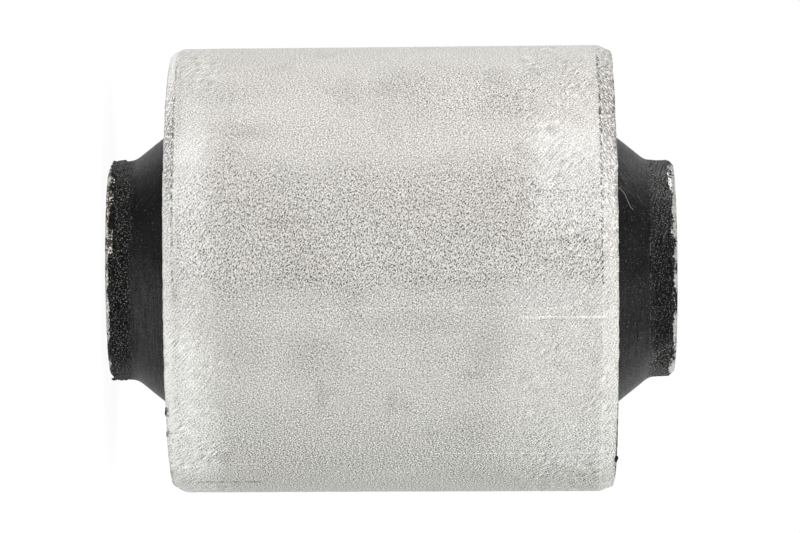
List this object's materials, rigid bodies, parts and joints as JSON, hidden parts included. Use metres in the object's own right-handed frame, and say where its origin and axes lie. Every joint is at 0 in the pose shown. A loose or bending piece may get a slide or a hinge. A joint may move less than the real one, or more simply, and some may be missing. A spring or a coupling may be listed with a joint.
{
  "type": "rubber metal bush",
  "caption": "Bonded suspension bush: a rubber body moulded between a pressed-in outer sleeve and a longer inner sleeve that a bolt clamps, so an arm can twist and give.",
  "frame": {"origin": "on the axis of the bolt bore, halfway along the inner sleeve, which is also the middle of the part's box", "axes": "+Z along the common axis of both sleeves; the part is alike at both ends and stands on the inner sleeve's lower end face"},
  "size_m": [0.045, 0.045, 0.057],
  "materials": {
    "blasted_aluminium": "matte",
    "black_rubber": "satin",
    "sleeve_steel": "satin"
  },
  "bodies": {
    "root": {"outer_sleeve": "blasted_aluminium", "rubber_body": "black_rubber", "inner_sleeve": "sleeve_steel"}
  },
  "joints": []
}
